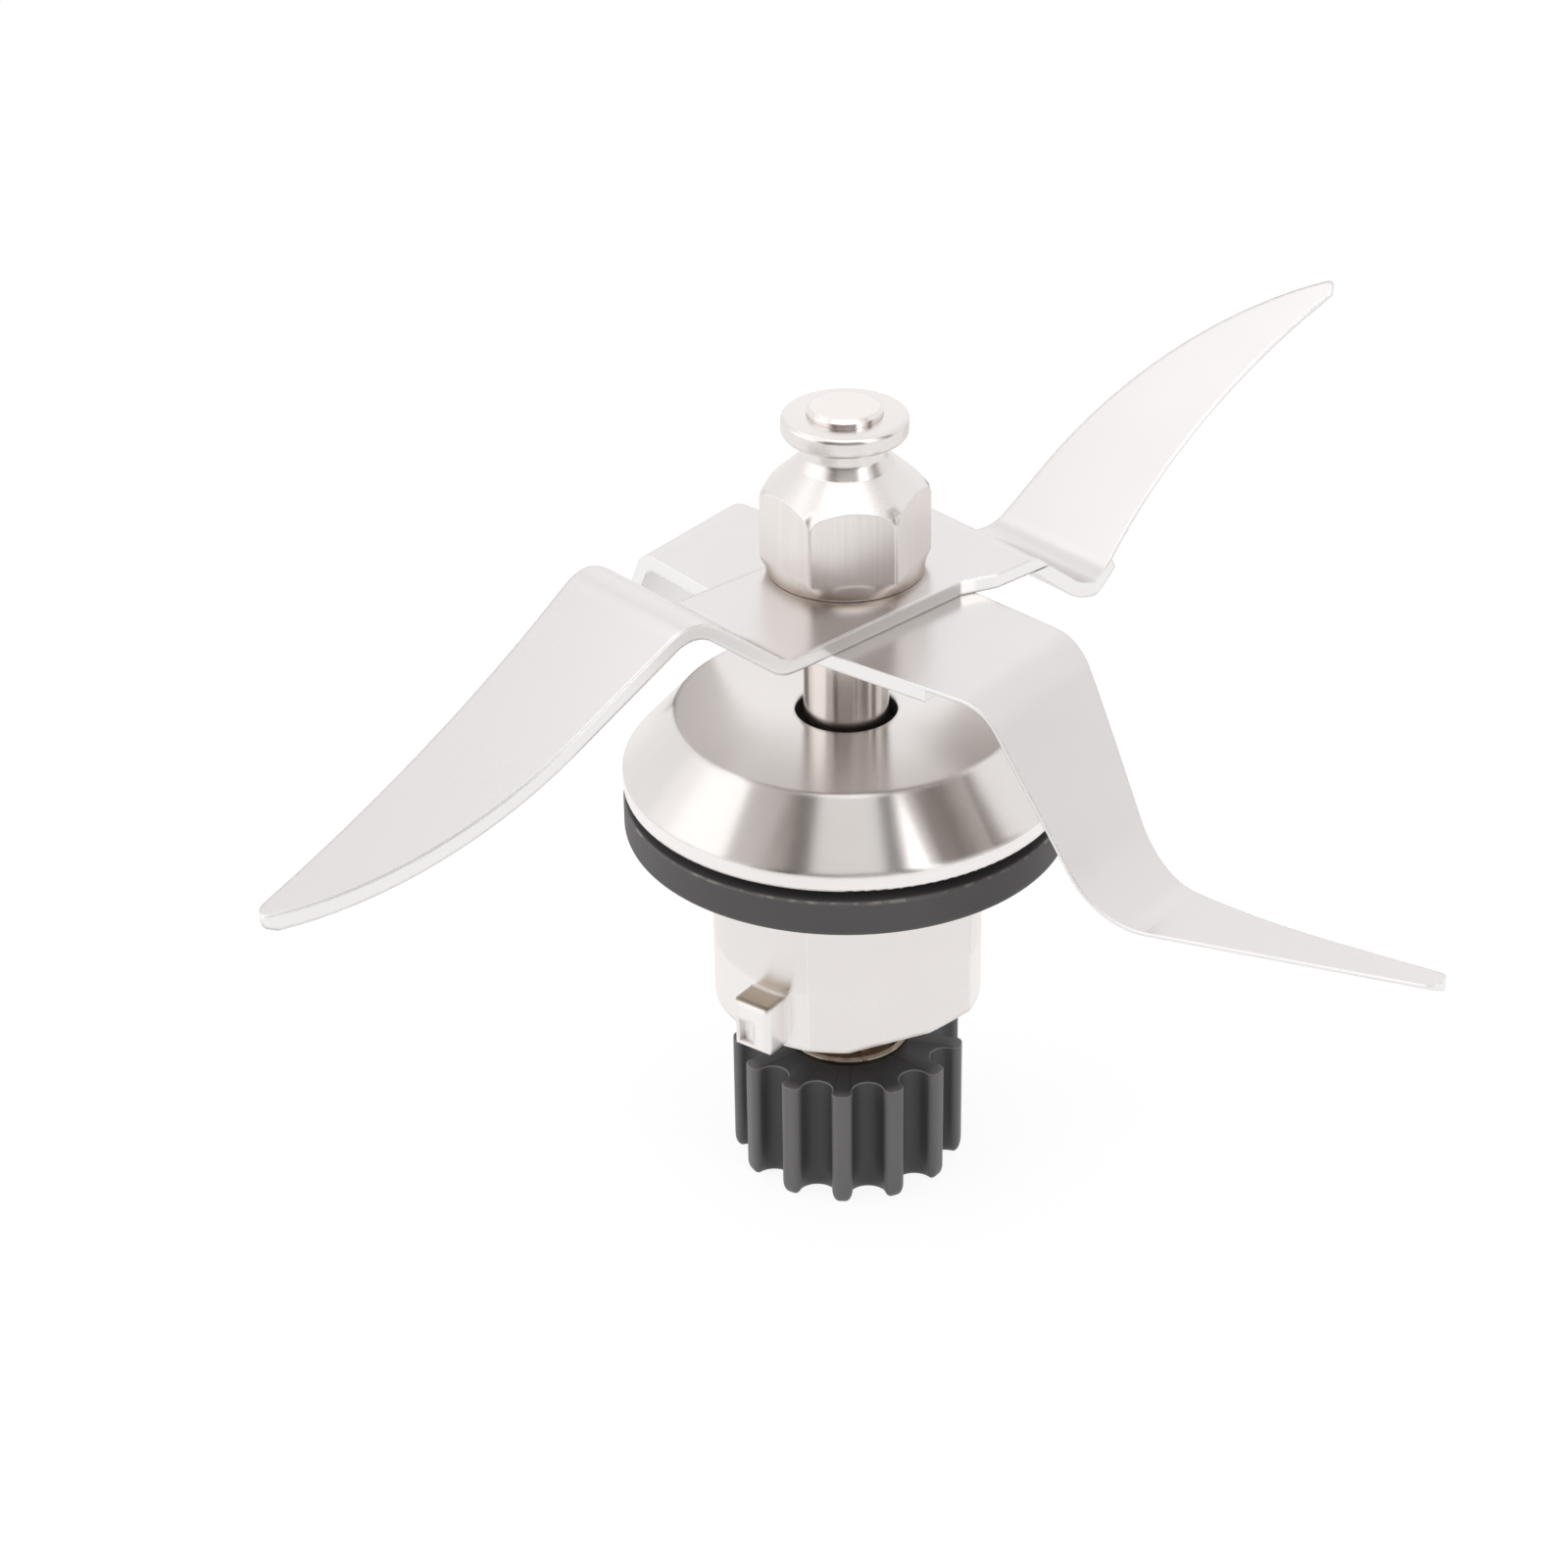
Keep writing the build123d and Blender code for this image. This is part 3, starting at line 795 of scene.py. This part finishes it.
def rounded(line: np.ndarray, radii: np.ndarray, steps: int) -> np.ndarray:
    """Rounds the inner corners of a line by arcs that touch both sides of a corner.

    With half a corner's angle known, its arc starts a radius over the half angle's tangent along each side,
    and the arc's middle lies a radius over the half angle's sine along the line that halves the corner.

    Args:
        line: corners as complex numbers, radius plus height times i.
        radii: radius of the arc at each inner corner.
        steps: points in an arc.

    Returns:
        The line's points, from its first corner to its last.
    """
    corner = line[1:-1]
    back, on = line[:-2] - corner, line[2:] - corner
    back, on = back / np.abs(back), on / np.abs(on)
    half = np.abs(np.angle(on / back)) / 2
    middle = corner + (back + on) / np.abs(back + on) * radii / np.sin(half)
    first = corner + back * radii / np.tan(half) - middle
    last = corner + on * radii / np.tan(half) - middle
    sweep = np.angle(last / first)[:, None] * np.linspace(0, 1, steps)
    arcs = middle[:, None] + first[:, None] * np.exp(1j * sweep)
    return np.concatenate([line[:1], arcs.ravel(), line[-1:]])


@dataclass(frozen=True)
class BladeStack:
    """The two blades, the nut that clamps them, and the spindle that carries them.

    The nut is shown with the round foot into which its milled flats run out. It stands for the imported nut, in
    its place.

    Attributes:
        sides: number of flats.
        flat_distance: distance of a flat from the spindle.
        corner_direction: plan direction of one corner, in degrees from X.
        foot: height of the blade under the nut.
        foot_radius: radius of the round foot.
        foot_edge: break of the foot's lower edge.
        foot_run: height over which the foot runs out into the flats.
        flat_ends: shares of a flat's height at which its own two rings lie.
        crown: corners of the turned crown, neck and flange, as radius and height. The first has the radius of
            the bar that the nut was made from, and the last that of the nut's hole.
        crown_rounds: radii of the inner corners.
        sharp: angle in degrees past which an edge of the nut stays sharp.
    """

    sides: int = 6
    flat_distance: float = 7.08
    corner_direction: float = -115.2
    foot: float = NUT_FOOT
    foot_radius: float = 7.5
    foot_edge: float = 0.15
    foot_run: float = 1.5
    flat_ends: tuple[float, float] = (0.03, 0.97)
    crown: tuple[tuple[float, float], ...] = (
        (8.08, 70.0),
        (8.08, 73.7),
        (4.75, 76.75),
        (4.05, 77.8),
        (4.05, 79.55),
        (6.0, 79.55),
        (6.0, 81.55),
        (3.56, 81.55),
    )
    crown_rounds: tuple[float, ...] = (1.2, 0.5, 0.8, 0.3, 0.55, 0.55)
    sharp: float = 20.0

    def build(self, frame: dict) -> None:
        """Dresses the blades and the spindle, and puts the nut in place.

        Args:
            frame: the loaded frame.
        """
        dress(frame, "upper_blade", UPPER_SHEET.material())
        dress(frame, "lower_blade", LOWER_SHEET.material())
        dress(frame, "drive_shaft", GROUND.material())
        join("milled_nut", self.nut(), NUT, "blade_nut", self.sharp)

    def nut(self) -> np.ndarray:
        """The nut's surface: a round foot, six flats, and a turned crown, neck and flange.

        In plan a flat's radius is its distance over the cosine of the angle from its middle, as far as the
        bar reaches. Up the foot the plan goes from a circle to that hexagon along a smooth step. Each point
        of the hexagon runs up to the height at which the turned crown has the same radius, and follows the
        crown from there.

        Returns:
            Rings of points from the hole's lower edge to its upper edge, in millimetres.
        """
        bar_radius, bore_radius = self.crown[0][0], self.crown[-1][0]
        corners = np.array(self.crown) @ np.array([1, 1j])
        line = rounded(corners, np.array(self.crown_rounds), ARC_STEPS)
        slope, rest = line[1 : ARC_STEPS + 2], line[ARC_STEPS + 2 :]
        reach = math.acos(self.flat_distance / bar_radius)
        across = np.linspace(-reach, reach, FLAT_STEPS)
        pitch = 2 * math.pi / self.sides
        middles = math.radians(self.corner_direction) + (np.arange(self.sides) + 0.5) * pitch
        angles = (middles[:, None] + across).ravel()
        hexagon = np.tile(self.flat_distance / np.cos(across), self.sides)
        run = np.linspace(0, 1, FOOT_STEPS)[:, None]
        foot = self.foot_radius + (hexagon - self.foot_radius) * run**2 * (3 - 2 * run)
        foot_rise = self.foot + self.foot_edge + self.foot_run * run
        crown = hexagon + (slope[-1].real - hexagon) * np.linspace(0, 1, CROWN_STEPS)[:, None]
        crown_rise = np.interp(crown, slope.real[::-1], slope.imag[::-1])
        flat = foot_rise[-1:] + (crown_rise[:1] - foot_rise[-1:]) * np.array(self.flat_ends)[:, None]
        under = np.array([bore_radius, self.foot_radius - self.foot_edge])[:, None]
        radii = (under, foot, np.stack([hexagon, hexagon]), crown, rest.real[:, None])
        rises = (np.full((2, 1), self.foot), foot_rise, flat, crown_rise, rest.imag[:, None])
        radii = np.concatenate([part + 0 * hexagon for part in radii])
        rise = np.concatenate([part + 0 * hexagon for part in rises])
        return lift(radii * np.exp(1j * angles), rise)


@dataclass(frozen=True)
class BearingUnit:
    """The housing with its rubber ring, and the bearings and seal inside it."""

    def build(self, frame: dict) -> None:
        """Dresses the housing, its seals and its bearings.

        Args:
            frame: the loaded frame.
        """
        dress(frame, "bearing_housing", TURNED.material())
        rubber = RUBBER.material()
        bearing = BEARING.material()
        spring = SPRING.material()
        brass = BRASS.material()
        for node in ("seal_ring", "shaft_seal"):
            dress(frame, node, rubber)
        for node in ("garter_spring", "housing_circlip"):
            dress(frame, node, spring)
        for node in ("outer_spacer", "inner_spacer"):
            dress(frame, node, bearing)
        for row in ("upper", "lower"):
            for part in ("outer_race", "inner_race", "shields", "balls"):
                dress(frame, f"{row}_{part}", bearing)
            dress(frame, f"{row}_cage", brass)


@dataclass(frozen=True)
class GearDrive:
    """The moulded gear with its collar, washer and clip.

    The gear is shown with the fully rounded teeth of the moulding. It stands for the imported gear, in its
    place.

    Attributes:
        teeth: number of teeth.
        tip_radius: radius over the tips.
        root_radius: radius at the valley floors.
        valley_radius: radius of a valley.
        tip_round: radius of a tooth's corners.
        tooth_direction: plan direction of one tooth, in degrees from X.
        height: height of the gear.
        end_round: rounding of its lower end, inwards.
        end_rise: rounding of its lower end, upwards.
        top_round: rounding of its upper edge.
        recess_radius: radius of the hollow under it.
        recess_depth: depth of that hollow.
        bore_radius: radius of its hole.
        sharp: angle in degrees past which an edge of the gear stays sharp.
    """

    teeth: int = 13
    tip_radius: float = 11.6
    root_radius: float = 9.1
    valley_radius: float = 1.58
    tip_round: float = 0.74
    tooth_direction: float = -94.4
    height: float = GEAR_TOP
    end_round: float = 0.72
    end_rise: float = 1.35
    top_round: float = 0.16
    recess_radius: float = 6.8
    recess_depth: float = 4.2
    bore_radius: float = 3.02
    sharp: float = 40.0

    def build(self, frame: dict) -> None:
        """Dresses the collar, washer and clip, and puts the rounded gear in place.

        Args:
            frame: the loaded frame.
        """
        dress(frame, "shaft_collar", SHADED_COLLAR_STEEL.material())
        dress(frame, "gear_washer", BEARING.material())
        dress(frame, "gear_clip", SPRING.material())
        rings = np.concatenate([self.outside(), self.inside()])
        join("moulded_gear", rings, NYLON, "drive_gear", self.sharp)

    def outline(self) -> tuple[np.ndarray, np.ndarray, np.ndarray, np.ndarray]:
        """The gear's outline as circular arcs that touch: valley, corner, tip and corner, tooth by tooth.

        In plan, as complex numbers, a point is its arc's middle plus the arc's radius times a direction. A
        corner arc touches the tip circle from inside and the valley from outside, so its middle is a corner's
        radius inside the tip circle and both radii away from the valley's middle, which the cosine rule turns
        into an angle.

        Returns:
            Middles, radii, directions, and how each radius changes as the outline shrinks.
        """
        pitch = 2 * math.pi / self.teeth
        valley = self.root_radius + self.valley_radius
        corner = self.tip_radius - self.tip_round
        apart = self.valley_radius + self.tip_round
        side = math.acos((valley**2 + corner**2 - apart**2) / (2 * valley * corner))
        first, second = corner * np.exp(1j * side), corner * np.exp(1j * (pitch - side))
        lean = float(np.angle(first - valley))
        arcs = (
            (valley, self.valley_radius, 2 * math.pi - lean, lean, VALLEY_STEPS, 1),
            (first, self.tip_round, lean - math.pi, side, CORNER_STEPS, -1),
            (0, self.tip_radius, side, pitch - side, TIP_STEPS, -1),
            (second, self.tip_round, pitch - side, pitch + math.pi - lean, CORNER_STEPS, -1),
        )
        start = math.radians(self.tooth_direction) - pitch / 2
        turns = np.exp(1j * (start + pitch * np.arange(self.teeth)))[:, None]
        middles = np.concatenate([np.full(count, middle) for middle, _, _, _, count, _ in arcs])
        radii = np.concatenate([np.full(count, radius) for _, radius, _, _, count, _ in arcs])
        angles = np.concatenate(
            [np.linspace(low, high, count, endpoint=False) for _, _, low, high, count, _ in arcs]
        )
        growth = np.concatenate([np.full(count, sign) for _, _, _, _, count, sign in arcs])
        middles, directions = (turns * middles).ravel(), (turns * np.exp(1j * angles)).ravel()
        return middles, np.tile(radii, self.teeth), directions, np.tile(growth, self.teeth)

    def outside(self) -> np.ndarray:
        """The toothed side: the outline carried up the axis, drawn in along a quarter ellipse at both ends.

        Returns:
            Rings of points from the lower end to the upper face, in millimetres.
        """
        middles, radii, directions, growth = self.outline()
        low = np.linspace(0, math.pi / 2, LOW_END_STEPS)
        high = np.linspace(0, math.pi / 2, HIGH_END_STEPS)
        draw = np.concatenate([self.end_round * (1 - np.sin(low)), self.top_round * (1 - np.cos(high))])
        rise = np.concatenate(
            [self.end_rise * (1 - np.cos(low)), self.height - self.top_round * (1 - np.sin(high))]
        )
        plan = middles + (radii + growth * draw[:, None]) * directions
        return lift(plan, rise[:, None])

    def inside(self) -> np.ndarray:
        """The hole and the hollow under the gear: circles at the same plan angles as the outline's points.

        Returns:
            Rings of points from the hole's upper edge to the hollow's lower edge, in millimetres.
        """
        middles, radii, directions, _ = self.outline()
        circle = np.exp(1j * np.angle(middles + radii * directions))
        sizes = np.array([self.bore_radius, self.bore_radius, self.recess_radius, self.recess_radius])
        rise = np.array([self.height, self.recess_depth, self.recess_depth, 0.0])
        plan = sizes[:, None] * circle
        return lift(plan, rise[:, None])


@dataclass(frozen=True)
class Card:
    """An upright card facing the spindle that only polished steel sees, as it sees a studio's panels.

    Attributes:
        name: what the card is.
        bearing: plan direction from the spindle, in degrees from X.
        distance: distance from the spindle.
        width: the card's width.
        low: height of its lower edge.
        high: height of its upper edge.
        tone: sRGB colour that the steel mirrors.
        level: its brightness, where 1 is the colour itself.
    """

    name: str
    bearing: float
    distance: float
    width: float
    low: float
    high: float
    tone: str = "#ffffff"
    level: float = 1.0

    def corners(self) -> np.ndarray:
        """The four corners: the middle, plus and minus half the width along the level tangent.

        Returns:
            Four rows of x, y and z, in millimetres.
        """
        angle = math.radians(self.bearing)
        middle = self.distance * np.array([math.cos(angle), math.sin(angle)])
        side = self.width / 2 * np.array([-math.sin(angle), math.cos(angle)])
        plan = np.array([middle - side, middle + side, middle + side, middle - side])
        heights = np.array([self.low, self.low, self.high, self.high])
        return np.column_stack([plan, heights])

    def build(self) -> None:
        """Makes the card, seen by glossy rays alone."""
        material, tree, surface = bare_material(self.name)
        glow = add(tree, "Emission", {"Color": linear(self.tone), "Strength": self.level})
        tree.links.new(glow, surface)
        card = put(self.name, self.corners(), ONE_FACE, material)
        card.visible_camera = False
        card.visible_diffuse = False
        card.visible_shadow = False
        card.visible_transmission = False


@dataclass(frozen=True)
class Softbox:
    """A large soft lamp on the floor and the dull surfaces. What polished steel mirrors is a card.

    Attributes:
        name: what the lamp is.
        place: its middle.
        aim: the point it faces.
        size: its width and height.
        level: its brightness, where 1 is white.
    """

    name: str
    place: tuple[float, float, float]
    aim: tuple[float, float, float]
    size: tuple[float, float]
    level: float

    def build(self) -> None:
        """Makes the lamp, turned to its aim. Its power is its brightness times pi times its area."""
        lamp = bpy.data.lights.new(self.name, "AREA")
        lamp.shape = "RECTANGLE"
        lamp.size, lamp.size_y = (side * MM for side in self.size)
        lamp.energy = self.level * math.pi * lamp.size * lamp.size_y
        box = bpy.data.objects.new(self.name, lamp)
        bpy.context.scene.collection.objects.link(box)
        box.location = np.array(self.place) * MM
        away = np.array(self.place) - np.array(self.aim)
        box.rotation_euler = (
            math.acos(away[2] / np.linalg.norm(away)),
            0,
            math.atan2(away[1], away[0]) + math.pi / 2,
        )
        box.visible_camera = False
        box.visible_glossy = False


@dataclass(frozen=True)
class Studio:
    """The white floor, the white surroundings, the lamps and the cards.

    Attributes:
        floor_reach: half the floor's side.
        floor_glow: how white the floor is by itself, before light and shadow.
        floor_tone: how much of the light on it the floor adds, and so how dark a shadow is.
        floor_white: how white the floor is as the dull surfaces see it.
        ambient: light of the surroundings on dull surfaces.
        lamps: the soft lamps.
        cards: what polished steel mirrors.
    """

    floor_reach: float = 3000.0
    floor_glow: float = 0.9
    floor_tone: float = 0.14
    floor_white: float = 0.8
    ambient: float = 0.55
    lamps: tuple[Softbox, ...] = (
        Softbox("left softbox", (-510, -118, 330), (0, 0, 40), (480, 420), 1.4),
        Softbox("right softbox", (329, -347, 420), (0, 0, 40), (150, 460), 1.7),
        Softbox("top softbox", (0, -60, 620), (0, 0, 40), (520, 520), 1.3),
    )
    cards: tuple[Card, ...] = (
        Card("left white panel", -167, 520, 480, 130, 760, level=1.4),
        Card("left wing panel", 163, 507, 120, 110, 490, level=1.15),
        Card("left pale card", -132, 500, 90, 30, 1000, tone="#b0a8a2"),
        Card("left dim card", -120, 500, 125, 30, 1000, tone="#564e49"),
        Card("camera card", -91, 520, 400, 30, 560, tone="#9d9591"),
        Card("right dim card", -62, 500, 100, 30, 900, tone="#3a3330"),
        Card("right white panel", -46.5, 480, 150, 180, 760, level=2.3),
        Card("far right dim card", -12, 500, 150, 60, 620, tone="#7d7068"),
        Card("front ceiling panel", -90, 120, 360, 280, 1400, level=1.9),
        Card("high back panel", 135, 250, 260, 350, 990, level=1.35),
        Card("back panel", 85, 640, 700, 140, 520, level=1.1),
    )

    def build(self) -> None:
        """Makes the surroundings, the floor, the cards and the lamps."""
        self.surround()
        self.floor()
        for part in (*self.cards, *self.lamps):
            part.build()
            LOG.info("set up %s", part.name)

    def surround(self) -> None:
        """White for what the camera and polished steel see, and a softer white as light."""
        world = bpy.data.worlds.new("white surroundings")
        bpy.context.scene.world = world
        world.use_nodes = True
        tree = world.node_tree
        tree.nodes.clear()
        seen = self.seen(tree)
        level = add(tree, "MapRange", {"Value": seen, "To Min": self.ambient, "To Max": 1.0})
        sky = add(tree, "Background", {"Color": (1, 1, 1, 1), "Strength": level})
        output = tree.nodes.new("ShaderNodeOutputWorld")
        tree.links.new(sky, output.inputs["Surface"])

    def seen(self, tree: Tree) -> Socket:
        """Says whether a ray comes from the camera, from gloss or through glass.

        Args:
            tree: the floor's or the world's nodes.

        Returns:
            1 for those rays and 0 for the others.
        """
        path = add(tree, "LightPath").node
        some = add(
            tree,
            "Math",
            {0: path.outputs["Is Camera Ray"], 1: path.outputs["Is Glossy Ray"]},
            operation="MAXIMUM",
        )
        return add(tree, "Math", {0: some, 1: path.outputs["Is Transmission Ray"]}, operation="MAXIMUM")

    def floor(self) -> None:
        """A level white floor that shows a faint shadow: a steady glow plus a little of the light on it."""
        material, tree, surface = bare_material("white painted floor")
        glow = add(tree, "Emission", {"Color": (1, 1, 1, 1), "Strength": self.floor_glow})
        tone = (self.floor_tone,) * 3 + (1.0,)
        shade = add(tree, "BsdfDiffuse", {"Color": tone})
        lit = add(tree, "AddShader", {0: glow, 1: shade})
        white = (self.floor_white,) * 3 + (1.0,)
        plain = add(tree, "BsdfDiffuse", {"Color": white})
        look = add(tree, "MixShader", {0: self.seen(tree), 1: plain, 2: lit})
        tree.links.new(look, surface)
        corners = np.array([(-1, -1, 0), (1, -1, 0), (1, 1, 0), (-1, 1, 0)]) * self.floor_reach
        floor = put("floor", corners, ONE_FACE, material)


@dataclass(frozen=True)
class Viewpoint:
    """Where the photographer stood.

    Attributes:
        place: the lens.
        down: tilt below the horizon, in degrees.
        lean: clockwise lean of the camera, in degrees.
        lens: focal length.
        sensor: width of the picture behind the lens.
        near: distance at which the picture begins.
        far: distance at which it ends.
    """

    place: tuple[float, float, float] = (-6.105, -335.339, 236.47)
    down: float = 30.102
    lean: float = 0.818
    lens: float = 91.42
    sensor: float = 36.0
    near: float = 10.0
    far: float = 20000.0

    def build(self) -> None:
        """Makes the camera that the picture is taken with."""
        camera = bpy.data.cameras.new("camera")
        camera.sensor_fit = "HORIZONTAL"
        camera.sensor_width = self.sensor
        camera.lens = self.lens
        camera.clip_start = self.near * MM
        camera.clip_end = self.far * MM
        stand = bpy.data.objects.new("camera", camera)
        bpy.context.scene.collection.objects.link(stand)
        tilt = Matrix.Rotation(math.radians(90 - self.down), 4, "X")
        lean = Matrix.Rotation(-math.radians(self.lean), 4, "Z")
        stand.matrix_world = Matrix.Translation(np.array(self.place) * MM) @ tilt @ lean
        bpy.context.scene.camera = stand


def main() -> None:
    """Loads the frame, dresses each sub-assembly, and sets up the studio and the camera."""
    logging.basicConfig(level=logging.INFO, format="%(name)s: %(message)s")
    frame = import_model()
    bpy.context.scene.view_settings.view_transform = "Standard"
    for assembly in (BladeStack(), BearingUnit(), GearDrive()):
        assembly.build(frame)
    Studio().build()
    Viewpoint().build()


if __name__ == "__main__":
    main()
